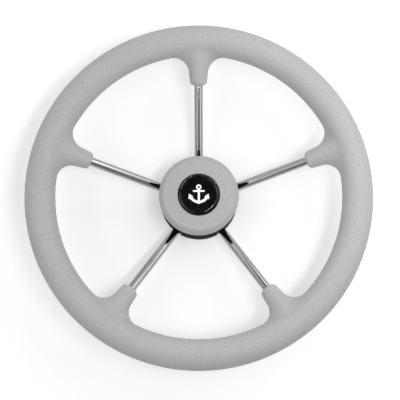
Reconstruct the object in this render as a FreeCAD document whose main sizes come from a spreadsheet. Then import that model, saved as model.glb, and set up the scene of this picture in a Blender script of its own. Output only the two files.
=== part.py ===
import FreeCAD, Part
import math
import os
import Sketcher
from FreeCAD import Placement, Rotation, Vector

# Boat steering wheel with five spokes, lying on the back face of its hub.
# Millimetres. Origin: centre of the hub's back face. +Z runs along the wheel's axis
# towards the driver, +Y points to the spoke at 12 o'clock.

doc = FreeCAD.newDocument("steering_wheel")

# Driving dimensions
SIZES = [
    ("rim_dia", 350.0, "outside diameter of the rim, over the grip"),
    ("grip_dia", 30.6, "diameter of the grip's round section"),
    ("ring_dia", 14.0, "outside diameter of the steel ring inside the grip"),
    ("ring_wall", 1.5, "wall of the steel ring's tube"),
    ("bond_gap", 0.15, "gap between the moulded grip and the steel inside it"),
    ("boot_length", 45.4, "length of a boot along its spoke, from the ring's centreline"),
    ("boot_end_dia", 17.1, "diameter of a boot at its tip"),
    ("boot_root_dia", 27.5, "diameter of a boot's cone at the ring's centreline"),
    ("boot_tip_radius", 3.8, "rounding round a boot's tip"),
    ("boot_flare_radius", 15.5, "fillet that blends a boot into the rim"),
    ("spoke_count", 5, "number of spokes, evenly spaced"),
    ("spoke_dia", 9.5, "outside diameter of a spoke's tube"),
    ("spoke_wall", 1.5, "wall of a spoke's tube"),
    ("spoke_angle", 20.5, "rise of the spokes from the hub to the rim, in degrees"),
    ("spoke_root_height", 13.0, "height of a spoke's axis where it enters the boss"),
    ("weld_gap", 0.1, "gap between a spoke and the steel that it is welded to"),
    ("bore_dia", 19.05, "large end of the taper bore, three quarters of an inch"),
    ("bore_taper", 12.0, "length of bore in which its diameter falls by one"),
    ("keyway_width", 4.76, "width of the keyway, three sixteenths of an inch"),
    ("keyway_depth", 2.4, "depth of the keyway beyond the large end of the bore"),
    ("socket_wall", 4.5, "metal between the bore and the end of a spoke"),
    ("boss_height", 36.0, "height of the boss"),
    ("nut_recess_dia", 30.0, "recess for the shaft nut, washer and socket spanner"),
    ("nut_recess_depth", 8.0, "depth of the nut recess"),
    ("boss_wall", 8.0, "wall of the boss round the nut recess"),
    ("boss_chamfer", 1.0, "chamfer round the boss"),
    ("screw_count", 3, "number of screws that hold the shroud"),
    ("screw_dia", 4.0, "diameter of a shroud screw"),
    ("screw_depth", 9.0, "length of screw in the boss"),
    ("screw_head_dia", 7.0, "diameter of a screw's head"),
    ("screw_head_height", 2.6, "height of a screw's head"),
    ("screw_key", 2.5, "width of the hexagon socket in a screw's head"),
    ("screw_key_depth", 1.4, "depth of the hexagon socket"),
    ("thread_gap", 0.05, "gap between a screw and its tapped hole"),
    ("tap_room", 1.0, "room in a tapped hole below the end of its screw"),
    ("screw_clearance", 0.2, "gap between a screw and its hole in the shroud"),
    ("shroud_dia", 80.6, "outside diameter of the shroud at its top"),
    ("shroud_flare", 0.8, "how far the shroud's lower edge stands out from its top"),
    ("shroud_bottom", 5.4, "height of the shroud's lower edge above the boss's back face"),
    ("shroud_wall", 2.5, "wall of the shroud, its web and its collar"),
    ("notch_gap", 0.5, "clearance between a spoke and its notch in the shroud"),
    ("collar_gap", 1.0, "room between the boss's radius and the collar's bore"),
    ("collar_land", 1.5, "height of collar above the sealing ring's groove"),
    ("cap_seat_height", 10.8, "height of the cap's lower edge above the web"),
    ("cap_seat_gap", 0.1, "gap between the cap's lower edge and the shroud"),
    ("cap_height", 8.0, "height of the cap"),
    ("cap_overhang", 0.6, "how far the cap stands out over the shroud"),
    ("cap_wall", 2.5, "wall of the cap"),
    ("cap_bevel_width", 4.6, "width of the bevel round the cap's face"),
    ("cap_bevel_angle", 45.0, "slope of the cap's bevel, in degrees"),
    ("cap_face_radius", 3.5, "rounding between the cap's face and its bevel"),
    ("cap_side_radius", 2.5, "rounding between the cap's bevel and its side"),
    ("cap_fit_gap", 0.3, "clearance between the cap and the shroud inside it"),
    ("step_gap", 0.5, "gap between the shroud's locating step and the inside of the cap"),
    ("cap_crown", 0.8, "rise of the cap's face from its edge to the badge"),
    ("spigot_room", 1.2, "room between the screw heads and the cap's spigot"),
    ("spigot_wall", 3.2, "wall of the cap's spigot"),
    ("seal_section", 2.0, "section diameter of the sealing ring"),
    ("seal_fit_gap", 0.15, "gap between the sealing ring and the collar's bore"),
    ("seal_back_gap", 0.05, "gap between the sealing ring and the floor of its groove"),
    ("seal_side_gap", 0.15, "gap between the sealing ring and each side of its groove"),
    ("seal_land", 1.4, "length of spigot below the sealing ring's groove"),
    ("badge_dia", 43.0, "diameter of the badge"),
    ("badge_gap", 0.2, "gap round the badge in its recess"),
    ("badge_recess_depth", 1.2, "depth of the badge's recess"),
    ("badge_disc_thick", 0.8, "thickness of the badge's disc"),
    ("badge_print_gap", 0.1, "room for the print between the disc and the dome"),
    ("dome_edge", 0.3, "height of the resin dome at its edge"),
    ("dome_slope", 40.0, "slope of the dome's side above its edge, in degrees"),
    ("dome_slope_land", 0.25, "width of the slope outside its rounding"),
    ("dome_shoulder_radius", 6.5, "rounding between the dome's side and its face"),
    ("dome_rise", 0.2, "how far the dome's middle stands above its slope"),
]

sheet = doc.addObject("Spreadsheet::Sheet", "Sheet")
for row, (alias, value, meaning) in enumerate(SIZES, start=1):
    sheet.set(f"A{row}", meaning)
    sheet.set(f"B{row}", str(value))
    sheet.setAlias(f"B{row}", alias)
doc.recompute()


def put(text):
    """Expression in which each size in brackets is read from the sheet."""
    return text.replace("[", "Sheet.").replace("]", "")


def number(text):
    """Present value of an expression."""
    result = sheet.evalExpression(put(text))
    return float(getattr(result, "Value", result))


# Derived sizes, as expressions of the driving ones
RING_R = "([rim_dia] - [grip_dia]) / 2"
SPOKE_R = "[spoke_dia] / 2"
NUT_R = "[nut_recess_dia] / 2"
BORE_R = "[bore_dia] / 2"
BOSS_R = f"({NUT_R} + [boss_wall])"
RIM_Z = f"([spoke_root_height] + ({RING_R} - {BOSS_R}) * tan([spoke_angle]))"
AXIS_Z = f"([spoke_root_height] - {BOSS_R} * tan([spoke_angle]))"
SOCKET_R = f"({BORE_R} + [socket_wall])"
SCREW_R = f"(({NUT_R} + {BOSS_R}) / 2)"
WEB_Z = "([boss_height] + [shroud_wall])"
SEAT_Z = f"({WEB_Z} + [cap_seat_height])"
SHROUD_R = "[shroud_dia] / 2"
SHROUD_IN_R = f"({SHROUD_R} - [shroud_wall])"
COLLAR_R = f"({BOSS_R} + [collar_gap])"
STEP_R = f"({SHROUD_R} + [cap_overhang] - [cap_wall] - [cap_fit_gap])"
LIP_Z = f"({SEAT_Z} + [cap_seat_gap])"
CAP_R = f"({SHROUD_R} + [cap_overhang])"
CAP_TOP = f"({LIP_Z} + [cap_height])"
FACE_EDGE_Z = f"({CAP_TOP} - [cap_crown])"
SIDE_TOP_Z = f"({FACE_EDGE_Z} - [cap_bevel_width] * tan([cap_bevel_angle]))"
INSIDE_TOP_Z = f"({SIDE_TOP_Z} - [cap_wall] * tan((90 - [cap_bevel_angle]) / 2))"
SPIGOT_R = f"({COLLAR_R} - [cap_fit_gap])"
SPIGOT_IN_R = f"({SPIGOT_R} - [spigot_wall])"
SPIGOT_Z = f"({WEB_Z} + [screw_head_height] + [spigot_room])"
SEAL_R = f"({COLLAR_R} - [seal_fit_gap] - [seal_section] / 2)"
GROOVE_R = f"({SEAL_R} - [seal_section] / 2 - [seal_back_gap])"
GROOVE_Z = f"({SPIGOT_Z} + [seal_land])"
GROOVE_TOP = f"({GROOVE_Z} + [seal_section] + 2 * [seal_side_gap])"
RECESS_Z = f"({CAP_TOP} - [badge_recess_depth])"
DOME_Z = f"({RECESS_Z} + [badge_disc_thick] + [badge_print_gap])"


def new_body(label):
    body = doc.addObject("PartDesign::Body", label)
    body.Label = label
    return body


def origin_item(body, role):
    """Plane or axis of a body's own origin."""
    for item in body.Origin.OriginFeatures:
        if item.Role == role:
            return item
    raise ValueError(f"{body.Label} has no {role}")


def new_sketch(body, plane, name, base=("0", "0", "0"), turn=None):
    """Sketch on an origin plane, moved by base and turned about its own x or z axis."""
    sketch = body.newObject("Sketcher::SketchObject", name)
    sketch.AttachmentSupport = (origin_item(body, plane), "")
    sketch.MapMode = "FlatFace"
    if turn:
        sketch.AttachmentOffset = Placement(Vector(), Rotation(turn[0], 1))
        sketch.setExpression("AttachmentOffset.Rotation.Angle", put(turn[1]))
    for coordinate, text in zip("xyz", base):
        if text != "0":
            sketch.setExpression(f"AttachmentOffset.Base.{coordinate}", put(text))
    return sketch


def place_point(sketch, edge, end, x_text, y_text):
    """Holds one end of an edge at the two expressions."""
    for kind, text, axis in (("DistanceX", x_text, -2), ("DistanceY", y_text, -1)):
        if text == "0":
            sketch.addConstraint(Sketcher.Constraint("PointOnObject", edge, end, axis))
            continue
        index = sketch.addConstraint(Sketcher.Constraint(kind, -1, 1, edge, end, number(text)))
        sketch.setExpression(f"Constraints[{index}]", put(text))


def crown_arc(start, end):
    """Arc from start up to end, with its centre on the sketch's y axis."""
    rise = (start.x**2 - end.x**2) / (end.y - start.y)
    centre = Vector(0, (start.y + end.y - rise) / 2, 0)
    radius = (start - centre).Length
    angles = [math.atan2(point.y - centre.y, point.x) for point in (start, end)]
    return Part.ArcOfCircle(Part.Circle(centre, Vector(0, 0, 1), radius), *angles)


def outline(sketch, corners, crowned=None):
    """Closed outline through corners given as pairs of expressions.

    Its sides are straight, but the side after the corner numbered crowned is an arc
    whose centre lies on the sketch's y axis.
    """
    points = [Vector(number(x), number(y), 0) for x, y in corners]
    count = len(points)
    for index in range(count):
        start, end = points[index], points[(index + 1) % count]
        side = crown_arc(start, end) if index == crowned else Part.LineSegment(start, end)
        sketch.addGeometry(side)
    for index in range(count):
        after = (index + 1) % count
        sketch.addConstraint(Sketcher.Constraint("Coincident", index, 2, after, 1))
    for index, (x_text, y_text) in enumerate(corners):
        place_point(sketch, index, 1, x_text, y_text)
    if crowned is not None:
        sketch.addConstraint(Sketcher.Constraint("PointOnObject", crowned, 3, -2))


def open_slot(sketch, radius_text, depth_text):
    """Half a circle over the sketch's origin, with sides that run down from it."""
    radius = number(radius_text)
    depth = number(depth_text)
    whole = Part.Circle(Vector(), Vector(0, 0, 1), radius)
    sketch.addGeometry(Part.ArcOfCircle(whole, 0, math.pi))
    corners = [
        Vector(-radius, 0, 0),
        Vector(-radius, -depth, 0),
        Vector(radius, -depth, 0),
        Vector(radius, 0, 0),
    ]
    for start, end in zip(corners, corners[1:]):
        sketch.addGeometry(Part.LineSegment(start, end))
    arc, left, floor, right = range(4)
    for first, second in ((arc, left), (left, floor), (floor, right), (right, arc)):
        sketch.addConstraint(Sketcher.Constraint("Coincident", first, 2, second, 1))
    sketch.addConstraint(Sketcher.Constraint("Coincident", arc, 3, -1, 1))
    sketch.addConstraint(Sketcher.Constraint("PointOnObject", arc, 1, -1))
    sketch.addConstraint(Sketcher.Constraint("PointOnObject", arc, 2, -1))
    sketch.addConstraint(Sketcher.Constraint("Vertical", left))
    sketch.addConstraint(Sketcher.Constraint("Vertical", right))
    sketch.addConstraint(Sketcher.Constraint("Horizontal", floor))
    index = sketch.addConstraint(Sketcher.Constraint("Radius", arc, radius))
    sketch.setExpression(f"Constraints[{index}]", put(radius_text))
    index = sketch.addConstraint(Sketcher.Constraint("DistanceY", floor, 1, -1, 1, depth))
    sketch.setExpression(f"Constraints[{index}]", put(depth_text))


def circle(sketch, x_text, y_text, diameter_text):
    """Circle whose centre and diameter are expressions."""
    centre = Vector(number(x_text), number(y_text), 0)
    radius = number(diameter_text) / 2
    edge = sketch.addGeometry(Part.Circle(centre, Vector(0, 0, 1), radius))
    if x_text == "0" and y_text == "0":
        sketch.addConstraint(Sketcher.Constraint("Coincident", edge, 3, -1, 1))
    else:
        place_point(sketch, edge, 3, x_text, y_text)
    index = sketch.addConstraint(Sketcher.Constraint("Diameter", edge, 2 * radius))
    sketch.setExpression(f"Constraints[{index}]", put(diameter_text))


def revolve(body, sketch, name, kind="Revolution", axis="V_Axis"):
    """Turns a sketch once round one of its own axes, as solid or as groove."""
    feature = body.newObject(f"PartDesign::{kind}", name)
    feature.Profile = sketch
    feature.ReferenceAxis = (sketch, [axis])
    feature.Angle = 360
    return feature


def extrude(body, sketch, name, kind="Pad", length=None, reverse=False):
    """Pads or pockets a sketch; without a length a pocket goes through everything."""
    feature = body.newObject(f"PartDesign::{kind}", name)
    feature.Profile = sketch
    if length:
        feature.setExpression("Length", put(length))
    else:
        feature.Type = "ThroughAll"
        feature.Midplane = True
    feature.Reversed = reverse
    return feature


def pattern(body, features, name, count):
    """Repeats features round the wheel's axis."""
    ring = body.newObject("PartDesign::PolarPattern", name)
    ring.Originals = features
    ring.Axis = (origin_item(body, "Z_Axis"), [""])
    ring.Angle = 360
    ring.setExpression("Occurrences", put(count))
    body.Tip = ring
    return ring


def edges_where(feature, test):
    """Names of a feature's edges that pass a test of the edge and the faces beside it."""
    doc.recompute()
    shape = feature.Shape
    names = []
    for index, edge in enumerate(shape.Edges, start=1):
        if edge.Degenerated:
            continue
        faces = shape.ancestorsOfType(edge, Part.Face)
        if test(edge, faces):
            names.append(f"Edge{index}")
    if not names:
        raise ValueError(f"no edge of {feature.Name} passes the test")
    return names


def dress(body, base, name, kind, edges, size_name, size_text):
    """Fillet or chamfer on named edges of the last feature."""
    feature = body.newObject(f"PartDesign::{kind}", name)
    feature.Base = (base, edges)
    feature.setExpression(size_name, put(size_text))
    body.Tip = feature
    return feature


def surface_names(faces):
    return sorted(type(face.Surface).__name__ for face in faces)


def meets_ring(faces):
    """True where a boot's cone meets the round section of the rim."""
    if surface_names(faces) != ["Cone", "Toroid"]:
        return False
    tori = [face.Surface for face in faces if isinstance(face.Surface, Part.Toroid)]
    return abs(tori[0].MajorRadius - number(RING_R)) < 1e-4


def is_circle(edge, radius, height):
    """True for a circular edge of this radius at this height."""
    curve = edge.Curve
    if not isinstance(curve, Part.Circle):
        return False
    return abs(curve.Radius - radius) < 1e-4 and abs(curve.Center.z - height) < 1e-4


# Grip: a round ring with one boot for each spoke, moulded in one piece over the steel.
# A sketch on the YZ plane whose x axis lies along the spoke's axis, running inwards
# from the ring's centreline, draws everything that follows a spoke.
SPOKE_FRAME = {
    "base": (RING_R, RIM_Z, "0"),
    "turn": (Vector(0, 0, 1), "180 + [spoke_angle]"),
}
grip = new_body("grip")
section = new_sketch(grip, "XZ_Plane", "GripSection")
circle(section, RING_R, RIM_Z, "[grip_dia]")
revolve(grip, section, "GripRing")
boot_side = new_sketch(grip, "YZ_Plane", "BootSide", **SPOKE_FRAME)
outline(boot_side, [
    ("0", "0"),
    ("[boot_length]", "0"),
    ("[boot_length]", "[boot_end_dia] / 2"),
    ("0", "[boot_root_dia] / 2"),
])
boot = revolve(grip, boot_side, "Boot", axis="H_Axis")
boots = pattern(grip, [boot], "Boots", "[spoke_count]")
tips = edges_where(boots, lambda edge, faces: surface_names(faces) == ["Cone", "Plane"])
TIP_LIMIT = "([boot_end_dia] - [spoke_dia]) / 2 - 2 * [bond_gap]"
rounded = dress(
    grip, boots, "BootTips", "Fillet", tips, "Radius", f"min([boot_tip_radius]; {TIP_LIMIT})"
)
roots = edges_where(rounded, lambda edge, faces: meets_ring(faces))
dress(grip, rounded, "BootFlares", "Fillet", roots, "Radius", "[boot_flare_radius]")
ring_room = new_sketch(grip, "XZ_Plane", "RingRoom")
circle(ring_room, RING_R, RIM_Z, "[ring_dia] + 2 * [bond_gap]")
revolve(grip, ring_room, "RingGroove", kind="Groove")
spoke_room = new_sketch(grip, "YZ_Plane", "SpokeRoom", **SPOKE_FRAME)
outline(spoke_room, [
    ("0", "0"),
    ("[boot_length] + [boot_tip_radius]", "0"),
    ("[boot_length] + [boot_tip_radius]", f"{SPOKE_R} + [bond_gap]"),
    ("0", f"{SPOKE_R} + [bond_gap]"),
])
spoke_hole = revolve(grip, spoke_room, "SpokeHole", kind="Groove", axis="H_Axis")
pattern(grip, [spoke_hole], "SpokeHoles", "[spoke_count]")

# Rim ring: steel tube bent to a circle, hidden in the grip
rim_ring = new_body("rim_ring")
tube = new_sketch(rim_ring, "XZ_Plane", "TubeSection")
circle(tube, RING_R, RIM_Z, "[ring_dia]")
circle(tube, RING_R, RIM_Z, "[ring_dia] - 2 * [ring_wall]")
revolve(rim_ring, tube, "TubeRing")

# Spokes: straight tubes, cut square in the boss and coped to fit round the ring.
# Each body's own z axis is the spoke's axis, from its inner end outwards.
SPOKE_NAMES = [
    "spoke_top",
    "spoke_upper_left",
    "spoke_lower_left",
    "spoke_lower_right",
    "spoke_upper_right",
]
SPOKE_RUN = f"(({RING_R} - {SOCKET_R}) / cos([spoke_angle]))"


def make_spoke(label, index):
    body = new_body(label)
    ends = new_sketch(body, "XY_Plane", "TubeEnd")
    circle(ends, "0", "0", "[spoke_dia]")
    circle(ends, "0", "0", "[spoke_dia] - 2 * [spoke_wall]")
    extrude(body, ends, "Tube", length=SPOKE_RUN)
    cope = new_sketch(body, "XZ_Plane", "Cope")
    circle(cope, "0", SPOKE_RUN, "[ring_dia] + 2 * [weld_gap]")
    extrude(body, cope, "CopeCut", kind="Pocket")
    around = f"(90 + {index} * 360 / [spoke_count])"
    root_x = f"{SOCKET_R} * cos({around})"
    root_y = f"{SOCKET_R} * sin({around})"
    root_z = f"{AXIS_Z} + {SOCKET_R} * tan([spoke_angle])"
    turn = f"rotationz({around}) * rotationy(90 - [spoke_angle])"
    body.setExpression("Placement", put(f"placement(vector({root_x}; {root_y}; {root_z}); {turn})"))
    return body


spokes = [make_spoke(label, index) for index, label in enumerate(SPOKE_NAMES)]

# Hub boss: turned steel with a taper bore, keyway, nut recess and a socket for each spoke
boss = new_body("hub_boss")
RECESS_FLOOR = "([boss_height] - [nut_recess_depth])"
BORE_TOP_R = f"{BORE_R} - {RECESS_FLOOR} / [bore_taper] / 2"
boss_side = new_sketch(boss, "XZ_Plane", "BossSide")
outline(boss_side, [
    (BORE_R, "0"),
    (BOSS_R, "0"),
    (BOSS_R, "[boss_height]"),
    (NUT_R, "[boss_height]"),
    (NUT_R, RECESS_FLOOR),
    (BORE_TOP_R, RECESS_FLOOR),
])
turned = revolve(boss, boss_side, "TurnedBoss")
rims = edges_where(
    turned,
    lambda edge, faces: is_circle(edge, number(BOSS_R), 0)
    or is_circle(edge, number(BOSS_R), number("[boss_height]")),
)
dress(boss, turned, "BossChamfer", "Chamfer", rims, "Size", "[boss_chamfer]")
key_end = new_sketch(boss, "XY_Plane", "KeywayEnd")
outline(key_end, [
    ("-[keyway_width] / 2", "0"),
    ("[keyway_width] / 2", "0"),
    ("[keyway_width] / 2", f"{BORE_R} + [keyway_depth]"),
    ("-[keyway_width] / 2", f"{BORE_R} + [keyway_depth]"),
])
extrude(boss, key_end, "Keyway", kind="Pocket")
socket_side = new_sketch(boss, "YZ_Plane", "SocketSide", **SPOKE_FRAME)
outline(socket_side, [
    (f"{SPOKE_RUN} - 2 * [boss_wall]", "0"),
    (f"{SPOKE_RUN} + [weld_gap]", "0"),
    (f"{SPOKE_RUN} + [weld_gap]", f"{SPOKE_R} + [weld_gap]"),
    (f"{SPOKE_RUN} - 2 * [boss_wall]", f"{SPOKE_R} + [weld_gap]"),
])
socket = revolve(boss, socket_side, "Socket", kind="Groove", axis="H_Axis")
pattern(boss, [socket], "Sockets", "[spoke_count]")
tap_end = new_sketch(boss, "XY_Plane", "TappedHoleEnd", base=("0", "0", "[boss_height]"))
circle(tap_end, "0", SCREW_R, "[screw_dia] + 2 * [thread_gap]")
tap = extrude(boss, tap_end, "TappedHole", kind="Pocket", length="[screw_depth] + [tap_room]")
pattern(boss, [tap], "TappedHoles", "[screw_count]")

# Hub shroud: moulded skirt with a web that sits on the boss, a collar for the cap's
# spigot, a step that centres the cap, and an open notch for each spoke
shroud = new_body("hub_shroud")
STEP_TOP = f"({INSIDE_TOP_Z} - [step_gap])"
COLLAR_TOP = f"({GROOVE_TOP} + [collar_land])"
shroud_side = new_sketch(shroud, "XZ_Plane", "ShroudSide")
outline(shroud_side, [
    (f"{SHROUD_R} + [shroud_flare]", "[shroud_bottom]"),
    (SHROUD_R, SEAT_Z),
    (STEP_R, SEAT_Z),
    (STEP_R, STEP_TOP),
    (f"{STEP_R} - [shroud_wall]", STEP_TOP),
    (f"{STEP_R} - [shroud_wall]", WEB_Z),
    (f"{COLLAR_R} + [shroud_wall]", WEB_Z),
    (f"{COLLAR_R} + [shroud_wall]", COLLAR_TOP),
    (COLLAR_R, COLLAR_TOP),
    (COLLAR_R, WEB_Z),
    (NUT_R, WEB_Z),
    (NUT_R, "[boss_height]"),
    (SHROUD_IN_R, "[boss_height]"),
    (SHROUD_IN_R, "[shroud_bottom]"),
])
revolve(shroud, shroud_side, "MouldedShroud")
notch_end = new_sketch(
    shroud, "XZ_Plane", "NotchEnd",
    base=("0", AXIS_Z, "0"),
    turn=(Vector(1, 0, 0), "[spoke_angle]"),
)
open_slot(notch_end, f"{SPOKE_R} + [notch_gap]", SHROUD_R)
notch = extrude(shroud, notch_end, "Notch", kind="Pocket", length="[shroud_dia]")
pattern(shroud, [notch], "Notches", "[spoke_count]")
screw_way_end = new_sketch(shroud, "XY_Plane", "ScrewWayEnd", base=("0", "0", WEB_Z))
circle(screw_way_end, "0", SCREW_R, "[screw_dia] + 2 * [screw_clearance]")
screw_way = extrude(shroud, screw_way_end, "ScrewWay", kind="Pocket", length="[shroud_wall]")
pattern(shroud, [screw_way], "ScrewWays", "[screw_count]")

# Shroud screws: socket-head screws through the web into the boss, one solid each
screws = new_body("shroud_screws")
screws.AllowCompound = True
head_end = new_sketch(screws, "XY_Plane", "HeadEnd", base=("0", "0", WEB_Z))
circle(head_end, "0", SCREW_R, "[screw_head_dia]")
head = extrude(screws, head_end, "Head", length="[screw_head_height]")
shank_end = new_sketch(screws, "XY_Plane", "ShankEnd", base=("0", "0", WEB_Z))
circle(shank_end, "0", SCREW_R, "[screw_dia]")
shank = extrude(
    screws, shank_end, "Shank", length="[shroud_wall] + [screw_depth]", reverse=True
)
HEAD_TOP = f"({WEB_Z} + [screw_head_height])"
key_socket_end = new_sketch(screws, "XY_Plane", "KeySocketEnd", base=("0", "0", HEAD_TOP))
outline(key_socket_end, [
    (
        f"[screw_key] / sqrt(3) * cos({60 * corner})",
        f"{SCREW_R} + [screw_key] / sqrt(3) * sin({60 * corner})",
    )
    for corner in range(6)
])
key_socket = extrude(
    screws, key_socket_end, "KeySocket", kind="Pocket", length="[screw_key_depth]"
)
pattern(screws, [head, shank, key_socket], "Screws", "[screw_count]")

# Hub cap: moulded cover with a soft bevel, a recess for the badge, and a spigot with
# a groove for the sealing ring
cap = new_body("hub_cap")
RECESS_R = "([badge_dia] / 2 + [badge_gap])"
FACE_EDGE_R = f"({CAP_R} - [cap_bevel_width])"
UNDER_Z = f"({FACE_EDGE_Z} - [cap_wall])"
UNDER_R = f"({FACE_EDGE_R} - [cap_wall] * tan([cap_bevel_angle] / 2))"
cap_side = new_sketch(cap, "XZ_Plane", "CapSide")
outline(cap_side, [
    (FACE_EDGE_R, FACE_EDGE_Z),
    (RECESS_R, CAP_TOP),
    (RECESS_R, RECESS_Z),
    ("0", RECESS_Z),
    ("0", f"{RECESS_Z} - [cap_wall]"),
    (SPIGOT_IN_R, f"{RECESS_Z} - [cap_wall]"),
    (SPIGOT_IN_R, SPIGOT_Z),
    (SPIGOT_R, SPIGOT_Z),
    (SPIGOT_R, GROOVE_Z),
    (GROOVE_R, GROOVE_Z),
    (GROOVE_R, GROOVE_TOP),
    (SPIGOT_R, GROOVE_TOP),
    (SPIGOT_R, UNDER_Z),
    (UNDER_R, UNDER_Z),
    (f"{CAP_R} - [cap_wall]", INSIDE_TOP_Z),
    (f"{CAP_R} - [cap_wall]", LIP_Z),
    (CAP_R, LIP_Z),
    (CAP_R, SIDE_TOP_Z),
], crowned=0)
moulded = revolve(cap, cap_side, "MouldedCap")
face_edge = edges_where(
    moulded, lambda edge, faces: is_circle(edge, number(FACE_EDGE_R), number(FACE_EDGE_Z))
)
soft_face = dress(cap, moulded, "FaceEdge", "Fillet", face_edge, "Radius", "[cap_face_radius]")
side_edge = edges_where(
    soft_face, lambda edge, faces: is_circle(edge, number(CAP_R), number(SIDE_TOP_Z))
)
dress(cap, soft_face, "SideEdge", "Fillet", side_edge, "Radius", "[cap_side_radius]")

# Sealing ring: round rubber ring in the spigot's groove
seal = doc.addObject("Part::Torus", "cap_o_ring")
seal.setExpression("Radius1", put(SEAL_R))
seal.setExpression("Radius2", put("[seal_section] / 2"))
seal.setExpression("Placement.Base.z", put(f"({GROOVE_Z} + {GROOVE_TOP}) / 2"))

# Badge: a printed disc with a clear resin dome over it, steep at its edge and nearly
# flat in the middle, as poured resin sets
disc = doc.addObject("Part::Cylinder", "badge_disc")
disc.setExpression("Radius", put("[badge_dia] / 2"))
disc.setExpression("Height", put("[badge_disc_thick]"))
disc.setExpression("Placement.Base.z", put(RECESS_Z))
dome = new_body("badge_dome")
ROUNDING = "[dome_shoulder_radius] * tan([dome_slope] / 2) * cos([dome_slope])"
SLOPE_WIDTH = f"({ROUNDING} + [dome_slope_land])"
SHOULDER_R = f"([badge_dia] / 2 - {SLOPE_WIDTH})"
SHOULDER_Z = f"({DOME_Z} + [dome_edge] + {SLOPE_WIDTH} * tan([dome_slope]))"
dome_side = new_sketch(dome, "XZ_Plane", "DomeSide")
outline(dome_side, [
    ("0", DOME_Z),
    ("[badge_dia] / 2", DOME_Z),
    ("[badge_dia] / 2", f"{DOME_Z} + [dome_edge]"),
    (SHOULDER_R, SHOULDER_Z),
    ("0", f"{SHOULDER_Z} + [dome_rise]"),
], crowned=3)
poured = revolve(dome, dome_side, "PouredDome")
shoulder = edges_where(
    poured, lambda edge, faces: is_circle(edge, number(SHOULDER_R), number(SHOULDER_Z))
)
dress(dome, poured, "DomeShoulder", "Fillet", shoulder, "Radius", "[dome_shoulder_radius]")

doc.recompute()

PIECES = [grip, rim_ring, *spokes, boss, shroud, screws, cap, seal, disc, dome]

for item in doc.Objects:
    if "Invalid" in item.State or "Error" in item.State:
        raise RuntimeError(f"{item.Name} did not build: {item.State}")
for piece in PIECES:
    if piece.Shape.isNull() or not piece.Shape.isValid():
        raise RuntimeError(f"{piece.Label} has no valid shape")

os.makedirs("parts", exist_ok=True)
for piece in PIECES:
    piece.Shape.exportStep(f"parts/{piece.Label}.step")
    solids = len(piece.Shape.Solids)
    print(f"{piece.Label}: {solids} solid(s), {piece.Shape.Volume / 1000:.2f} cm3")
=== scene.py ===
# %% [markdown]
# # A boat's steering wheel, dressed in Blender
#
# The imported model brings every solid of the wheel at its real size: a moulded grip,
# five steel spokes, a turned hub with its black shroud, and a cap that pulls off.
# This lesson gives each of them the finish that the real piece has, adds the welds
# and the printed sign that are too fine for the solids, and lights it like a
# product on a white table. The model is loaded first, because everything else sits
# where its solids say.

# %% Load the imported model
import math

import bpy
from mathutils import Matrix, Vector


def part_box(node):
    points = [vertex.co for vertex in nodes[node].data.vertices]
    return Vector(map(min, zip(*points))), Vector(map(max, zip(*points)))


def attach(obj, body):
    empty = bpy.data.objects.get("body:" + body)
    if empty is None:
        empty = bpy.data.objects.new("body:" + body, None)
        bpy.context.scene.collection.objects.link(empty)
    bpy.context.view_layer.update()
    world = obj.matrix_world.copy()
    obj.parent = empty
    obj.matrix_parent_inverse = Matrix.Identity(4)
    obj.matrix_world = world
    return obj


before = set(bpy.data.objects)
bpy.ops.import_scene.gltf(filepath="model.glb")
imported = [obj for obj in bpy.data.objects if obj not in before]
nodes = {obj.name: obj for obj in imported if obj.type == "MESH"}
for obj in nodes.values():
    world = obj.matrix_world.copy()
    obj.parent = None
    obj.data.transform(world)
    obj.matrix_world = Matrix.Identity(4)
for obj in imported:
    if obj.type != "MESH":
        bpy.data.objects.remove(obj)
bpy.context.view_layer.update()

MM = 0.001

# %% [markdown]
# ## The sizes that the finishes need
#
# A finish that follows the wheel, such as the mould's parting line, needs to know
# where the ring and the spokes run. The ring's radius and height are measured on
# its tube, so they follow the model. The spokes' slope and radius can't be read off a
# box, so they are written here once.

# %% Measure the wheel
ring_low, ring_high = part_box("rim_ring")
TUBE_R = (ring_high.z - ring_low.z) / 2
RING_R = ring_high.x - TUBE_R
RING_Z = (ring_high.z + ring_low.z) / 2
SPOKE_SLOPE = math.radians(20.5)
SPOKE_COUNT = 5
SPOKE_R = 4.75 * MM
AXIS_Z = RING_Z - RING_R * math.tan(SPOKE_SLOPE)
BOSS_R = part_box("hub_boss")[1].x
disc_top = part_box("badge_disc")[1].z
dome_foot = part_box("badge_dome")[0].z
print(f"ring radius {RING_R / MM:.2f} at height {RING_Z / MM:.2f}, boss radius {BOSS_R / MM:.2f}")
print(f"the print has {(dome_foot - disc_top) / MM:.2f} mm between disc and dome")

# %% [markdown]
# ## The camera
#
# The picture was taken from a little below the middle of the wheel, close enough
# for the near rim to look larger than the hub. The camera could be pointed with a
# Track To constraint, but a place and three turns are enough. The lens was worked
# out from how much the dish of the wheel shrinks the hub, and the turns are made in
# the order Z, Y, X, so that the pitch is the last of them.

# %% Place the camera
CAMERA_PLACE = Vector((0.9, -117.7, 862.2)) * MM
CAMERA_TURN = (7.93, -0.02, -0.16)
LENS = 72.2

camera_data = bpy.data.cameras.new("product_camera")
camera_data.lens = LENS
camera_data.sensor_width = 36
camera_data.clip_end = 100
camera = bpy.data.objects.new("product_camera", camera_data)
camera.rotation_mode = "ZYX"
camera.location = CAMERA_PLACE
camera.rotation_euler = [math.radians(turn) for turn in CAMERA_TURN]
bpy.context.scene.collection.objects.link(camera)
bpy.context.scene.camera = camera
bpy.context.scene.view_settings.view_transform = "Standard"
print("camera", round(CAMERA_PLACE.z / MM), "mm above the table, lens", LENS, "mm")

# %% [markdown]
# ## Colours and nodes
#
# Colours are written as the sRGB hex values that a paint program shows, and
# Blender's sockets want linear light, so one function converts them. A second small
# function adds a node, sets it up and links it, which keeps each material short
# enough to read as a recipe.

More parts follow.
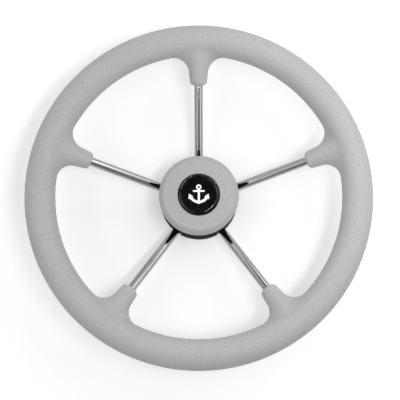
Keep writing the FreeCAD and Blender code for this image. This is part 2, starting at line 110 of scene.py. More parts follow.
# %% Two helpers for every material
def from_hex(code):
    """Linear colour of an sRGB hex value."""
    channels = [int(code[start:start + 2], 16) / 255 for start in (1, 3, 5)]
    linear = [c / 12.92 if c <= 0.04045 else ((c + 0.055) / 1.055) ** 2.4 for c in channels]
    return (*linear, 1.0)


def add_node(tree, kind, inputs=None, **settings):
    """Adds a node with its settings; an input is a value, or an output to link from."""
    node = tree.nodes.new(kind)
    for name, value in settings.items():
        setattr(node, name, value)
    for socket, value in (inputs or {}).items():
        if isinstance(value, bpy.types.NodeSocket):
            tree.links.new(value, node.inputs[socket])
        else:
            node.inputs[socket].default_value = value
    return node


print("mid grey #808080 is", round(from_hex("#808080")[0], 3), "in linear light")

# %% [markdown]
# ## Table, studio and lamps
#
# The wheel lies on white paper. Paper that is lit at a plain level renders a little
# darker than white, so a faint glow is added where the camera or a reflection looks
# at it. The glow lights nothing, and the wheel's shadow stays in the paper's diffuse
# part. Away from the wheel the glow rises for the camera, so that a view from the
# side has a white background too. The room round the table is white for the camera,
# but nearly dark for the rest: the tubes show it between the panels, and the dark
# streaks of a polished tube are that gap.

# %% The paper
PAPER_HALF = 30.0
PAPER_DROP = 0.2 * MM
GLOW = 0.3
LIT_RADIUS, WHITE_RADIUS = 0.15, 0.8

paper_mesh = bpy.data.meshes.new("table_paper")
paper_mesh.from_pydata(
    [(x * PAPER_HALF, y * PAPER_HALF, -PAPER_DROP) for x, y in ((-1, -1), (1, -1), (1, 1), (-1, 1))],
    [],
    [(0, 1, 2, 3)],
)
paper = bpy.data.objects.new("table_paper", paper_mesh)
bpy.context.scene.collection.objects.link(paper)

paper_look = bpy.data.materials.new("matt white paper")
paper_look.use_nodes = True
tree = paper_look.node_tree
ray = add_node(tree, "ShaderNodeLightPath")
to_camera = ray.outputs["Is Camera Ray"]
seen = add_node(tree, "ShaderNodeMath", {0: to_camera, 1: ray.outputs["Is Glossy Ray"]}, operation="ADD")
seen = add_node(
    tree,
    "ShaderNodeMath",
    {0: seen.outputs[0], 1: ray.outputs["Is Transmission Ray"]},
    operation="ADD",
    use_clamp=True,
)
place = add_node(tree, "ShaderNodeTexCoord").outputs["Object"]
reach = add_node(tree, "ShaderNodeVectorMath", {0: place}, operation="LENGTH").outputs["Value"]
far = add_node(
    tree,
    "ShaderNodeMapRange",
    {0: reach, 1: LIT_RADIUS, 2: WHITE_RADIUS, 3: 0.0, 4: 1.0 - GLOW},
    interpolation_type="SMOOTHSTEP",
)
far = add_node(tree, "ShaderNodeMath", {0: far.outputs[0], 1: to_camera}, operation="MULTIPLY")
glow = add_node(
    tree,
    "ShaderNodeMath",
    {0: seen.outputs[0], 1: GLOW, 2: far.outputs[0]},
    operation="MULTIPLY_ADD",
)
shader = tree.nodes["Principled BSDF"]
shader.inputs["Base Color"].default_value = from_hex("#F2F2F2")
shader.inputs["Roughness"].default_value = 1.0
shader.inputs["Specular IOR Level"].default_value = 0.0
shader.inputs["Emission Color"].default_value = (1, 1, 1, 1)
tree.links.new(glow.outputs[0], shader.inputs["Emission Strength"])
paper_mesh.materials.append(paper_look)
print("paper reaches", PAPER_HALF, "m each way")

# %% The room
HORIZON, CEILING, CEILING_FROM = 0.15, 0.02, 0.45

room = bpy.data.worlds.new("studio_room")
room.use_nodes = True
bpy.context.scene.world = room
tree = room.node_tree
direction = add_node(tree, "ShaderNodeTexCoord").outputs["Generated"]
height = add_node(tree, "ShaderNodeSeparateXYZ", {0: direction}).outputs["Z"]
fade = add_node(
    tree,
    "ShaderNodeMapRange",
    {0: height, 1: 0.0, 2: CEILING_FROM, 3: HORIZON, 4: CEILING},
    interpolation_type="SMOOTHSTEP",
)
white = add_node(tree, "ShaderNodeLightPath").outputs["Is Camera Ray"]
strength = add_node(tree, "ShaderNodeMath", {0: fade.outputs[0], 1: white}, operation="MAXIMUM")
backdrop = tree.nodes["Background"]
backdrop.inputs["Color"].default_value = (1, 1, 1, 1)
tree.links.new(strength.outputs[0], backdrop.inputs["Strength"])
print("room from", HORIZON, "at the horizon to", CEILING, "overhead")

# %% [markdown]
# ## A tent of dim panels, and three small lamps
#
# Mirror-polished tubes show whatever stands round them, so the light is built the
# way that a studio builds it for steel: a tent. Three rings of panels stand round
# the wheel, each as bright as the tubes show it, and nothing hangs overhead. One big
# lamp would be simpler, but it would leave the tubes black everywhere else. The
# panels on the right stand at half the distance, so the right of the rim is lit more
# strongly than the left. Three small bright lamps draw the short arcs on the badge
# and the edges of the shadows. A panel's watts follow from its brightness, which is
# 1 for a panel that looks as bright as white paper.

# %% The tent and the lamps
FAR, NEAR = 0.95, 0.5
NEAR_PANELS = [(14, 0), (40, 0), (40, 45), (65, 45)]
TENT = {
    14: (25, (0.36, 0.43, 1.0, 0.5, 0.25, 0.27, 0.35, 0.46)),
    40: (26, (1.4, 1.45, 0.69, 0.87, 0.69, 0.75, 0.27, 0.0)),
    65: (24, (0.61, 0.75, 0.0, 0.32, 0.9, 0.8, 0.0, 0.37)),
}


def panel(name, azimuth, elevation, wide, tall, brightness, distance=FAR):
    """Soft panel that faces the wheel; azimuth 0 is +X and 90 is +Y, wide and tall in degrees."""
    lamp = bpy.data.lights.new(name, "AREA")
    lamp.shape = "RECTANGLE"
    lamp.size, lamp.size_y = [2 * distance * math.tan(math.radians(span / 2)) for span in (wide, tall)]
    lamp.energy = math.pi * lamp.size * lamp.size_y * brightness
    turn, lift = math.radians(azimuth), math.radians(elevation)
    away = Vector((math.cos(turn) * math.cos(lift), math.sin(turn) * math.cos(lift), math.sin(lift)))
    holder = bpy.data.objects.new(name, lamp)
    holder.location = away * distance
    holder.rotation_euler = away.to_track_quat("Z", "Y").to_euler()
    holder.visible_camera = False
    bpy.context.scene.collection.objects.link(holder)


for elevation, (tall, row) in TENT.items():
    step = 360 / len(row)
    wide = math.degrees(2 * math.atan(math.cos(math.radians(elevation)) * math.tan(math.radians(step / 2))))
    for number, brightness in enumerate(row):
        azimuth = round(number * step)
        distance = NEAR if (elevation, azimuth) in NEAR_PANELS else FAR
        if brightness:
            panel(f"tent_{elevation}_{azimuth}", azimuth, elevation, wide, tall, brightness, distance)
panel("high_key_lamp", 329, 75, 20, 7, 18.5)
panel("side_key_lamp", 30, 60, 14, 14, 2.1)
panel("low_fill_lamp", 197, 57, 10, 4, 9)

# %% [markdown]
# ## The grip: grained polyurethane
#
# The grip is polyurethane foam with a closed skin, poured in a mould whose walls are
# etched. The skin is matt and slightly soft, and its grain of small pebbles is the
# mould's. An image of leather would need an unwrapped surface; a Voronoi pattern in
# the wheel's own coordinates needs none and looks the same on ring and boots. The
# real pebbles are about half a millimetre wide; here they are drawn at 0.9 mm, so
# that they still show from where the camera stands.

# %% A recipe for moulded grain
def material_named(name):
    """New material with its node tree and its shader."""
    material = bpy.data.materials.new(name)
    material.use_nodes = True
    return material, material.node_tree, material.node_tree.nodes["Principled BSDF"]


def pebbles(tree, point, cell):
    """Height of rounded pebbles one cell wide, from 0 in the valleys to about 1."""
    cells = add_node(
        tree,
        "ShaderNodeTexVoronoi",
        {"Vector": point, "Scale": 1 / cell, "Smoothness": 0.35},
        feature="SMOOTH_F1",
    )
    height = add_node(tree, "ShaderNodeMath", {0: 1.0, 1: cells.outputs["Distance"]}, operation="SUBTRACT")
    return height.outputs[0]


def clouds(tree, point, size, low, high, detail=3.0):
    """Soft random value between low and high, in clouds of about this size."""
    noise = add_node(tree, "ShaderNodeTexNoise", {"Vector": point, "Scale": 1 / size, "Detail": detail})
    ranged = {0: noise.outputs["Fac"], 1: 0.3, 2: 0.7, 3: low, 4: high}
    return add_node(tree, "ShaderNodeMapRange", ranged).outputs[0]


GRIP_PEBBLE = 0.9 * MM
print("the grip's grain needs a Voronoi scale of", round(1 / GRIP_PEBBLE))

# %% [markdown]
# The mould opens along the middle of the rim and through the middle of each boot.
# Where its halves meet, the skin keeps a hair-thin line, and a second joint crosses
# the rim on the left. Both lines are bands in the wheel's coordinates: one where
# the height is that of the parting surface, one where the angle round the axis is
# that of the joint.

# %% Lines that the mould leaves
PARTING_WIDTH = 0.35 * MM
JOINT_ANGLE = math.radians(197.5 - 360.0)
JOINT_WIDTH = 0.6 * MM


def band(tree, value, width):
    """1 where value is 0, falling to 0 at a distance of width."""
    size = add_node(tree, "ShaderNodeMath", {0: value}, operation="ABSOLUTE")
    fall = {0: size.outputs[0], 1: 0.0, 2: width, 3: 1.0, 4: 0.0}
    return add_node(tree, "ShaderNodeMapRange", fall, interpolation_type="SMOOTHSTEP").outputs[0]


def wheel_place(tree, point):
    """Distance from the axis, angle round it and height, of a point."""
    axes = add_node(tree, "ShaderNodeSeparateXYZ", {0: point})
    flat = add_node(tree, "ShaderNodeCombineXYZ", {0: axes.outputs["X"], 1: axes.outputs["Y"], 2: 0.0})
    radius = add_node(tree, "ShaderNodeVectorMath", {0: flat.outputs[0]}, operation="LENGTH")
    sides = {0: axes.outputs["Y"], 1: axes.outputs["X"]}
    angle = add_node(tree, "ShaderNodeMath", sides, operation="ARCTAN2")
    return radius.outputs["Value"], angle.outputs[0], axes.outputs["Z"]


def parting_line(tree, radius, height):
    """Band where the mould's halves meet: level outside the ring, sloping with the spokes inside."""
    inside = add_node(tree, "ShaderNodeMath", {0: RING_R, 1: radius}, operation="SUBTRACT")
    inside = add_node(tree, "ShaderNodeMath", {0: inside.outputs[0], 1: 0.0}, operation="MAXIMUM")
    slope = {0: inside.outputs[0], 1: math.tan(SPOKE_SLOPE), 2: height}
    drop = add_node(tree, "ShaderNodeMath", slope, operation="MULTIPLY_ADD")
    above = add_node(tree, "ShaderNodeMath", {0: drop.outputs[0], 1: RING_Z}, operation="SUBTRACT")
    return band(tree, above.outputs[0], PARTING_WIDTH)


def joint_line(tree, radius, angle):
    """Band that crosses the rim where two blocks of the mould meet."""
    turn = add_node(tree, "ShaderNodeMath", {0: angle, 1: JOINT_ANGLE}, operation="SUBTRACT")
    along = add_node(tree, "ShaderNodeMath", {0: turn.outputs[0], 1: radius}, operation="MULTIPLY")
    return band(tree, along.outputs[0], JOINT_WIDTH)


print("parting line", PARTING_WIDTH / MM, "mm, joint line", JOINT_WIDTH / MM, "mm")

# %% The grip's material
GRIP_GREY = from_hex("#C8C8C8")
GRIP_VALLEY = from_hex("#B6B6B6")
LINE_GREY = from_hex("#8A8A8A")
LINE_SHADE = 0.24
LINE_DEPTH = 0.7  # times the depth of the grain
GRAIN_DEPTH = 0.1 * MM

grip_look, tree, shader = material_named("polyurethane, moulded grain")
point = add_node(tree, "ShaderNodeTexCoord").outputs["Object"]
radius, angle, height = wheel_place(tree, point)
both = {0: parting_line(tree, radius, height), 1: joint_line(tree, radius, angle)}
lines = add_node(tree, "ShaderNodeMath", both, operation="MAXIMUM").outputs[0]
grain = pebbles(tree, point, GRIP_PEBBLE)
valley = add_node(tree, "ShaderNodeMapRange", {0: grain, 1: 0.25, 2: 0.75, 3: 1.0, 4: 0.0}).outputs[0]
toned = add_node(tree, "ShaderNodeMix", {0: valley, 6: GRIP_GREY, 7: GRIP_VALLEY}, data_type="RGBA")
handled = {0: toned.outputs[2], "Scale": clouds(tree, point, 45 * MM, 0.965, 1.0)}
handled = add_node(tree, "ShaderNodeVectorMath", handled, operation="SCALE").outputs[0]
marked = add_node(tree, "ShaderNodeMath", {0: lines, 1: LINE_SHADE}, operation="MULTIPLY").outputs[0]
toned = add_node(tree, "ShaderNodeMix", {0: marked, 6: handled, 7: LINE_GREY}, data_type="RGBA").outputs[2]
relief = {0: lines, 1: -LINE_DEPTH, 2: grain}
relief = add_node(tree, "ShaderNodeMath", relief, operation="MULTIPLY_ADD").outputs[0]
bump = add_node(tree, "ShaderNodeBump", {"Strength": 1.0, "Distance": GRAIN_DEPTH, "Height": relief})
tree.links.new(toned, shader.inputs["Base Color"])
tree.links.new(clouds(tree, point, 20 * MM, 0.56, 0.66), shader.inputs["Roughness"])
tree.links.new(bump.outputs[0], shader.inputs["Normal"])
shader.inputs["IOR"].default_value = 1.5
shader.inputs["Specular IOR Level"].default_value = 0.35
print(grip_look.name, "has", len(tree.nodes), "nodes")

# %% [markdown]
# ## The cap: soft-touch moulding
#
# The cap is moulded in a hard plastic and painted with a soft grey coat that is
# meant to match the grip. The coat is sprayed, so it is finely mottled and has no
# mould lines. Its specks are finer than a third of a millimetre; they are drawn at
# 1.1 mm here, because the camera would average anything finer to a flat grey.

# %% The cap's material
CAP_SPECK = 1.1 * MM

cap_look, tree, shader = material_named("soft-touch painted moulding")
point = add_node(tree, "ShaderNodeTexCoord").outputs["Object"]
grain = pebbles(tree, point, CAP_SPECK)
shades = {0: grain, 6: from_hex("#A8A8A8"), 7: from_hex("#C9C9C9")}
toned = add_node(tree, "ShaderNodeMix", shades, data_type="RGBA").outputs[2]
bump = add_node(tree, "ShaderNodeBump", {"Strength": 1.0, "Distance": GRAIN_DEPTH, "Height": grain})
tree.links.new(toned, shader.inputs["Base Color"])
tree.links.new(clouds(tree, point, 12 * MM, 0.5, 0.6), shader.inputs["Roughness"])
tree.links.new(bump.outputs[0], shader.inputs["Normal"])
shader.inputs["Specular IOR Level"].default_value = 0.35
print(cap_look.name, "ready")

# %% [markdown]
# ## Polished stainless steel
#
# The spokes are drawn tubes, polished with a belt until they mirror. A metal has no
# diffuse colour, so the whole look is reflection, and the finish is in how little
# it blurs. The belt leaves faint scratches that run round each tube. They need a
# coordinate along the tube, so the five spokes are folded onto one: the angle round
# the wheel is wrapped into one fifth of a turn.

# %% A coordinate along the nearest spoke
FIRST_SPOKE = math.radians(90)
SECTOR = 2 * math.pi / SPOKE_COUNT


def along_spoke(tree, point):
    """Vector of the distance along the nearest spoke, and the two across it."""
    radius, angle, height = wheel_place(tree, point)
    turned = add_node(tree, "ShaderNodeMath", {0: angle, 1: FIRST_SPOKE}, operation="SUBTRACT")
    fifth = {0: turned.outputs[0], 1: SECTOR / 2, 2: -SECTOR / 2}
    folded = add_node(tree, "ShaderNodeMath", fifth, operation="WRAP")
    cosine = add_node(tree, "ShaderNodeMath", {0: folded.outputs[0]}, operation="COSINE")
    sine = add_node(tree, "ShaderNodeMath", {0: folded.outputs[0]}, operation="SINE")
    outward = add_node(tree, "ShaderNodeMath", {0: radius, 1: cosine.outputs[0]}, operation="MULTIPLY")
    sideways = add_node(tree, "ShaderNodeMath", {0: radius, 1: sine.outputs[0]}, operation="MULTIPLY")
    local = add_node(tree, "ShaderNodeCombineXYZ", {0: outward.outputs[0], 1: sideways.outputs[0], 2: height})
    start = {"Vector": local.outputs[0], "Location": (0, 0, AXIS_Z), "Rotation": (0, -SPOKE_SLOPE, 0)}
    return add_node(tree, "ShaderNodeMapping", start, vector_type="TEXTURE").outputs[0]


print("one spoke stands for all, each", round(math.degrees(SECTOR)), "degrees")

# %% The spokes' material
SCRATCH_WIDTH = 0.35 * MM
SCRATCH_STRETCH = 0.06
SCRATCH_DEPTH = 0.0012 * MM

spoke_look, tree, shader = material_named("stainless steel, belt polished")
point = add_node(tree, "ShaderNodeTexCoord").outputs["Object"]
lengthwise = along_spoke(tree, point)
stretch = {"Vector": lengthwise, "Scale": (1.0, SCRATCH_STRETCH, SCRATCH_STRETCH)}
stretched = add_node(tree, "ShaderNodeMapping", stretch).outputs[0]
scratch = {"Vector": stretched, "Scale": 1 / SCRATCH_WIDTH, "Detail": 2.0}
scratches = add_node(tree, "ShaderNodeTexNoise", scratch).outputs["Fac"]
bump = add_node(tree, "ShaderNodeBump", {"Strength": 1.0, "Distance": SCRATCH_DEPTH, "Height": scratches})
tree.links.new(bump.outputs[0], shader.inputs["Normal"])
tree.links.new(clouds(tree, point, 15 * MM, 0.05, 0.09), shader.inputs["Roughness"])
shades = {0: scratches, 6: from_hex("#BBBBBB"), 7: from_hex("#B5B5B5")}
tone = add_node(tree, "ShaderNodeMix", shades, data_type="RGBA").outputs[2]
tree.links.new(tone, shader.inputs["Base Color"])
shader.inputs["Metallic"].default_value = 1.0
print(spoke_look.name, "ready")

# %% [markdown]
# ## Turned and drawn steel
#
# The hub boss is turned on a lathe, and the tool leaves rings about a fifth of a
# millimetre apart, drawn twice as coarse here so that they show. A Wave texture of
# rings round the axis draws them. Its bands repeat every two pi over twenty times
# its scale, so the scale is worked out from the tool's feed. The ring in the grip is
# a plain drawn tube, and the same steel with clouds instead of rings serves for it.

# %% Materials of the hub and of the hidden ring
TOOL_FEED = 0.4 * MM


def wave_scale(pitch):
    """Scale at which a Wave texture's bands are one pitch apart."""
    return 2 * math.pi / 20 / pitch


turned_look, tree, shader = material_named("stainless steel, turned")
point = add_node(tree, "ShaderNodeTexCoord").outputs["Object"]
rings = {"Vector": point, "Scale": wave_scale(TOOL_FEED), "Distortion": 0.4, "Detail": 1.0}
feed = add_node(tree, "ShaderNodeTexWave", rings, wave_type="RINGS", rings_direction="Z").outputs["Fac"]
bump = add_node(tree, "ShaderNodeBump", {"Strength": 1.0, "Distance": 0.006 * MM, "Height": feed})
shades = {0: feed, 6: from_hex("#B4B4B2"), 7: from_hex("#C0C0BE")}
tone = add_node(tree, "ShaderNodeMix", shades, data_type="RGBA").outputs[2]
tree.links.new(tone, shader.inputs["Base Color"])
tree.links.new(bump.outputs[0], shader.inputs["Normal"])
tree.links.new(clouds(tree, point, 8 * MM, 0.26, 0.36), shader.inputs["Roughness"])
shader.inputs["Metallic"].default_value = 1.0

drawn_look, tree, shader = material_named("stainless steel, drawn")
point = add_node(tree, "ShaderNodeTexCoord").outputs["Object"]
skin = clouds(tree, point, 1.5 * MM, 0.0, 1.0)
shades = {0: skin, 6: from_hex("#A8A8A6"), 7: from_hex("#B6B6B4")}
tone = add_node(tree, "ShaderNodeMix", shades, data_type="RGBA").outputs[2]
tree.links.new(tone, shader.inputs["Base Color"])
tree.links.new(clouds(tree, point, 6 * MM, 0.35, 0.45), shader.inputs["Roughness"])
shader.inputs["Metallic"].default_value = 1.0
print("turning rings: Wave scale", round(wave_scale(TOOL_FEED)))

# %% [markdown]
# ## Black parts of the hub
#
# The shroud is black ABS from an etched mould, so it has a broad, weak sheen instead
# of a mirror. The sealing ring is nitrile rubber, duller still, with a little bloom
# on its skin. The badge's disc is black film under the resin.

# %% Black mouldings, rubber and film
shroud_look, tree, shader = material_named("black ABS, fine etched mould")
point = add_node(tree, "ShaderNodeTexCoord").outputs["Object"]
grain = pebbles(tree, point, 0.5 * MM)
bump = add_node(tree, "ShaderNodeBump", {"Strength": 1.0, "Distance": 0.012 * MM, "Height": grain})
shades = {0: grain, 6: from_hex("#0E0E0E"), 7: from_hex("#161616")}
tone = add_node(tree, "ShaderNodeMix", shades, data_type="RGBA").outputs[2]
tree.links.new(tone, shader.inputs["Base Color"])
tree.links.new(bump.outputs[0], shader.inputs["Normal"])
tree.links.new(clouds(tree, point, 10 * MM, 0.86, 0.94), shader.inputs["Roughness"])
shader.inputs["Specular IOR Level"].default_value = 0.1

rubber_look, tree, shader = material_named("nitrile rubber, moulded")
point = add_node(tree, "ShaderNodeTexCoord").outputs["Object"]
bloom = clouds(tree, point, 2.5 * MM, 0.0, 1.0)
shades = {0: bloom, 6: from_hex("#141414"), 7: from_hex("#202020")}
tone = add_node(tree, "ShaderNodeMix", shades, data_type="RGBA").outputs[2]
tree.links.new(tone, shader.inputs["Base Color"])
tree.links.new(clouds(tree, point, 1.5 * MM, 0.6, 0.75), shader.inputs["Roughness"])

film_look, tree, shader = material_named("black film, satin")
point = add_node(tree, "ShaderNodeTexCoord").outputs["Object"]
haze = clouds(tree, point, 6 * MM, 0.0, 1.0)
shades = {0: haze, 6: from_hex("#0A0A0A"), 7: from_hex("#111111")}
tone = add_node(tree, "ShaderNodeMix", shades, data_type="RGBA").outputs[2]
tree.links.new(tone, shader.inputs["Base Color"])
tree.links.new(clouds(tree, point, 4 * MM, 0.4, 0.5), shader.inputs["Roughness"])
shader.inputs["Specular IOR Level"].default_value = 0.0
print("black parts ready")

# %% [markdown]
# ## The badge's resin and print
#
# The badge is domed with clear resin, poured as a drop that stops at the disc's
# edge. Real glass in a path tracer keeps a lamp's shadow rays out, and the film
# below would go without light. The resin therefore lets shadow rays straight
# through, and bends the rest as resin does. Its mirror image of the tent is halved
# with the specular tint, because a photographer shades a badge from the panels, and
# that can't be built for one lamp alone.

# %% Clear resin and white ink
resin_look, tree, shader = material_named("clear polyurethane resin, poured")
point = add_node(tree, "ShaderNodeTexCoord").outputs["Object"]
waves = {"Vector": point, "Scale": 1 / (9 * MM), "Detail": 1.0}
pour = add_node(tree, "ShaderNodeTexNoise", waves).outputs["Fac"]
bump = add_node(tree, "ShaderNodeBump", {"Strength": 1.0, "Distance": 0.004 * MM, "Height": pour})
tree.links.new(bump.outputs[0], shader.inputs["Normal"])
tree.links.new(clouds(tree, point, 8 * MM, 0.02, 0.03), shader.inputs["Roughness"])
shader.inputs["Base Color"].default_value = (1, 1, 1, 1)
shader.inputs["Transmission Weight"].default_value = 1.0
shader.inputs["Specular Tint"].default_value = (0.5, 0.5, 0.5, 1)
shader.inputs["IOR"].default_value = 1.49
ray = add_node(tree, "ShaderNodeLightPath").outputs["Is Shadow Ray"]
clear = add_node(tree, "ShaderNodeBsdfTransparent", {"Color": (1, 1, 1, 1)})
both = add_node(tree, "ShaderNodeMixShader", {0: ray, 1: shader.outputs[0], 2: clear.outputs[0]})
tree.links.new(both.outputs[0], tree.nodes["Material Output"].inputs["Surface"])

ink_look, tree, shader = material_named("white screen ink")
point = add_node(tree, "ShaderNodeTexCoord").outputs["Object"]
cover = clouds(tree, point, 1.2 * MM, 0.0, 1.0)
shades = {0: cover, 6: from_hex("#F0F0F0"), 7: from_hex("#FAFAFA")}
tone = add_node(tree, "ShaderNodeMix", shades, data_type="RGBA").outputs[2]
tree.links.new(tone, shader.inputs["Base Color"])
shader.inputs["Roughness"].default_value = 0.6
print("resin and ink ready")

# %% [markdown]
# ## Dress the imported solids
#
# Each solid of the model takes one of the finishes. Only the material in the
# object's slot changes, and its mesh stays as it was packed.

# %% Give every solid its finish
FINISHES = {
    "grip": grip_look,
    "rim_ring": drawn_look,
    "hub_boss": turned_look,
    "hub_shroud": shroud_look,
    "shroud_screws": turned_look,
    "hub_cap": cap_look,
    "cap_o_ring": rubber_look,
    "badge_disc": film_look,
    "badge_dome": resin_look,
}
for name, solid in nodes.items():
    look = spoke_look if name.startswith("spoke_") else FINISHES[name]
    solid.data.materials.clear()
    solid.data.materials.append(look)
print("dressed:", ", ".join(sorted(nodes)))

# %% [markdown]
# ## The printed sign
#
# The disc carries a white sign under the resin. An anchor is the sign that any
# chandler sells, so it belongs to nobody. It could be a picture, but an outline of
# arcs and straight lines stays sharp at any distance. Half of it is drawn and
# mirrored, and a flat curve with the eye of the anchor as a hole fills it.

# %% Draw half an anchor
def arc(centre_y, radius, start, end, steps):
    """Points of an arc round (0, centre_y), with angles in degrees."""
    turns = [math.radians(start + (end - start) * step / steps) for step in range(steps + 1)]
    return [(radius * math.cos(turn), centre_y + radius * math.sin(turn)) for turn in turns]


EYE_Y, EYE_R, EYE_HOLE_R = 7.6, 2.7, 1.2
SHANK_HALF = 1.05
STOCK_Y, STOCK_HALF, STOCK_REACH = 3.6, 0.85, 5.2
ARM_Y, ARM_OUT_R, ARM_IN_R = 1.5, 10.4, 7.8
CROWN_Y = -10.1
FLUKE = [(5.3, -2.4), (9.9, 0.9), (10.7, -4.7), (9.25, -4.1)]

eye_side = math.degrees(math.asin(SHANK_HALF / EYE_R)) - 90
half = arc(EYE_Y, EYE_R, 90, eye_side, 14)
half += [(SHANK_HALF, STOCK_Y + STOCK_HALF)]
half += [
    (STOCK_REACH + STOCK_HALF * math.cos(turn), STOCK_Y + STOCK_HALF * math.sin(turn))
    for turn in [math.radians(90 - 30 * step) for step in range(7)]
]
half += [(SHANK_HALF, STOCK_Y - STOCK_HALF)]
half += arc(ARM_Y, ARM_IN_R, -math.degrees(math.acos(SHANK_HALF / ARM_IN_R)), -32, 10)
half += FLUKE
half += arc(ARM_Y, ARM_OUT_R, -38, -82, 12)
half += [(0.0, CROWN_Y)]
outline = half + [(-x, y) for x, y in reversed(half[1:-1])]
eye_hole = arc(EYE_Y, EYE_HOLE_R, 0, 360 - 360 / 24, 23)
print("anchor of", len(outline), "points,", round(EYE_Y + EYE_R - CROWN_Y, 1), "mm tall")

# %% Fill it and lay it under the dome
INK_THICK = 0.05 * MM

sign_curve = bpy.data.curves.new("badge_sign", "CURVE")
sign_curve.dimensions = "2D"
sign_curve.fill_mode = "BOTH"
sign_curve.extrude = INK_THICK / 2
for loop in (outline, eye_hole):
    spline = sign_curve.splines.new("POLY")
    spline.points.add(len(loop) - 1)
    for spot, (x, y) in zip(spline.points, loop):
        spot.co = (x * MM, y * MM, 0, 1)
    spline.use_cyclic_u = True

drawing = bpy.data.objects.new("badge_sign_drawing", sign_curve)
bpy.context.scene.collection.objects.link(drawing)
bpy.context.view_layer.update()
sign_mesh = bpy.data.meshes.new_from_object(drawing.evaluated_get(bpy.context.evaluated_depsgraph_get()))
sign_mesh.transform(Matrix.Translation((0, 0, (disc_top + dome_foot) / 2)))
bpy.data.objects.remove(drawing)
sign = bpy.data.objects.new("badge_sign", sign_mesh)
bpy.context.scene.collection.objects.link(sign)
sign.data.materials.clear()
sign.data.materials.append(ink_look)
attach(sign, "cap")
print("sign has", len(sign.data.polygons), "faces")

# %% [markdown]
# ## Weld beads round the spokes
#
# Each spoke is welded where it enters the boss. The bead follows the curve in which
# a sloping tube meets an upright cylinder, and its ripples are where the welder
# added rod. It repeats five times, which is work for Geometry Nodes: the curve is a
# circle whose points are moved by the formula of the crossing, a second circle is
# swept along it with a radius that swells at each ripple, and the result is
# instanced round the axis.

# %% Build the node tree of the beads
weld_look, tree, shader = material_named("stainless steel, welded and brushed")
point = add_node(tree, "ShaderNodeTexCoord").outputs["Object"]
heat = clouds(tree, point, 2 * MM, 0.0, 1.0)
shades = {0: heat, 6: from_hex("#9C9A96"), 7: from_hex("#B8B7B4")}
tone = add_node(tree, "ShaderNodeMix", shades, data_type="RGBA").outputs[2]
tree.links.new(tone, shader.inputs["Base Color"])
tree.links.new(clouds(tree, point, 0.8 * MM, 0.3, 0.5), shader.inputs["Roughness"])
shader.inputs["Metallic"].default_value = 1.0

RIPPLES = 26
beads = bpy.data.node_groups.new("weld_beads", "GeometryNodeTree")
beads.interface.new_socket("Geometry", in_out="OUTPUT", socket_type="NodeSocketGeometry")
BEAD_INPUTS = {
    "Tube Radius": SPOKE_R,
    "Boss Radius": BOSS_R,
    "Slope": SPOKE_SLOPE,
    "Axis Height": AXIS_Z,
    "Bead Radius": 1.3 * MM,
    "Ripple Depth": 0.14,
    "Ripples": float(RIPPLES),
}
for label in BEAD_INPUTS:
    beads.interface.new_socket(label, in_out="INPUT", socket_type="NodeSocketFloat")
beads.interface.new_socket("Spokes", in_out="INPUT", socket_type="NodeSocketInt")
beads.interface.new_socket("Finish", in_out="INPUT", socket_type="NodeSocketMaterial")
given = add_node(beads, "NodeGroupInput").outputs
print("inputs:", [socket.name for socket in given if socket.name])

# %% Bend a circle into the seam, and sweep it
def calculate(operation, *values):
    """One step of arithmetic in the beads' tree."""
    return add_node(beads, "ShaderNodeMath", dict(enumerate(values)), operation=operation).outputs[0]


share = add_node(beads, "GeometryNodeSplineParameter").outputs["Factor"]
turn = calculate("MULTIPLY", share, 2 * math.pi)
across = calculate("MULTIPLY", given["Tube Radius"], calculate("COSINE", turn))
lift = calculate("MULTIPLY", given["Tube Radius"], calculate("SINE", turn))
boss_squared = calculate("POWER", given["Boss Radius"], 2.0)
outward = calculate("SQRT", calculate("SUBTRACT", boss_squared, calculate("POWER", across, 2.0)))
slope_sine = calculate("SINE", given["Slope"])
slope_cosine = calculate("COSINE", given["Slope"])
slide = calculate("DIVIDE", calculate("MULTIPLY_ADD", lift, slope_sine, outward), slope_cosine)
climb = calculate("MULTIPLY_ADD", slide, slope_sine, given["Axis Height"])
climb = calculate("MULTIPLY_ADD", lift, slope_cosine, climb)
place = add_node(beads, "ShaderNodeCombineXYZ", {0: outward, 1: across, 2: climb})
ring = add_node(beads, "GeometryNodeCurvePrimitiveCircle", {"Resolution": 6 * RIPPLES, "Radius": 1.0})
seam = add_node(beads, "GeometryNodeSetPosition", {"Geometry": ring.outputs[0], "Position": place.outputs[0]})
swell = calculate("SINE", calculate("MULTIPLY", turn, given["Ripples"]))
swell = calculate("MULTIPLY_ADD", swell, given["Ripple Depth"], 1.0)
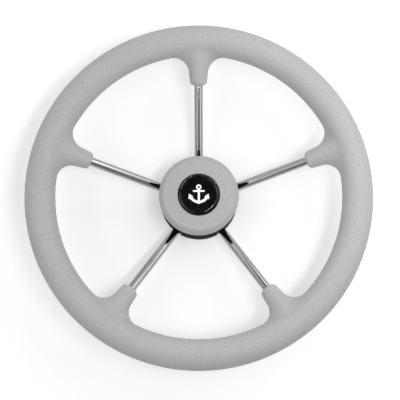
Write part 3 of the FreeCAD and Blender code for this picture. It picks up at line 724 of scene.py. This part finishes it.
girth = calculate("MULTIPLY", given["Bead Radius"], swell)
section = add_node(beads, "GeometryNodeCurvePrimitiveCircle", {"Resolution": 10, "Radius": 1.0})
sweep = {"Curve": seam.outputs[0], "Profile Curve": section.outputs[0], "Scale": girth}
bead = add_node(beads, "GeometryNodeCurveToMesh", sweep)
number = add_node(beads, "GeometryNodeInputIndex").outputs[0]
step = calculate("DIVIDE", 2 * math.pi, given["Spokes"])
facing = add_node(beads, "ShaderNodeCombineXYZ", {2: calculate("MULTIPLY_ADD", number, step, FIRST_SPOKE)})
print("bead's tree has", len(beads.nodes), "nodes")

# %% Repeat it for each spoke and make it a mesh
axis_points = add_node(beads, "GeometryNodePoints", {"Count": given["Spokes"]})
round_axis = {"Points": axis_points.outputs[0], "Instance": bead.outputs[0], "Rotation": facing.outputs[0]}
copies = add_node(beads, "GeometryNodeInstanceOnPoints", round_axis)
real = add_node(beads, "GeometryNodeRealizeInstances", {"Geometry": copies.outputs[0]})
smooth = add_node(beads, "GeometryNodeSetShadeSmooth", {"Geometry": real.outputs[0]})
finished = {"Geometry": smooth.outputs[0], "Material": given["Finish"]}
painted = add_node(beads, "GeometryNodeSetMaterial", finished)
add_node(beads, "NodeGroupOutput", {0: painted.outputs[0]})

holder = bpy.data.objects.new("weld_beads_maker", bpy.data.meshes.new("weld_beads_maker"))
bpy.context.scene.collection.objects.link(holder)
modifier = holder.modifiers.new("weld_beads", "NODES")
modifier.node_group = beads
identifiers = {item.name: item.identifier for item in beads.interface.items_tree if item.in_out == "INPUT"}
for label, value in {**BEAD_INPUTS, "Spokes": SPOKE_COUNT, "Finish": weld_look}.items():
    modifier[identifiers[label]] = value
bpy.context.view_layer.update()
weld_mesh = bpy.data.meshes.new_from_object(holder.evaluated_get(bpy.context.evaluated_depsgraph_get()))
bpy.data.objects.remove(holder)
welds = bpy.data.objects.new("weld_beads", weld_mesh)
bpy.context.scene.collection.objects.link(welds)
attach(welds, "wheel")
print("welds:", len(welds.data.polygons), "faces")
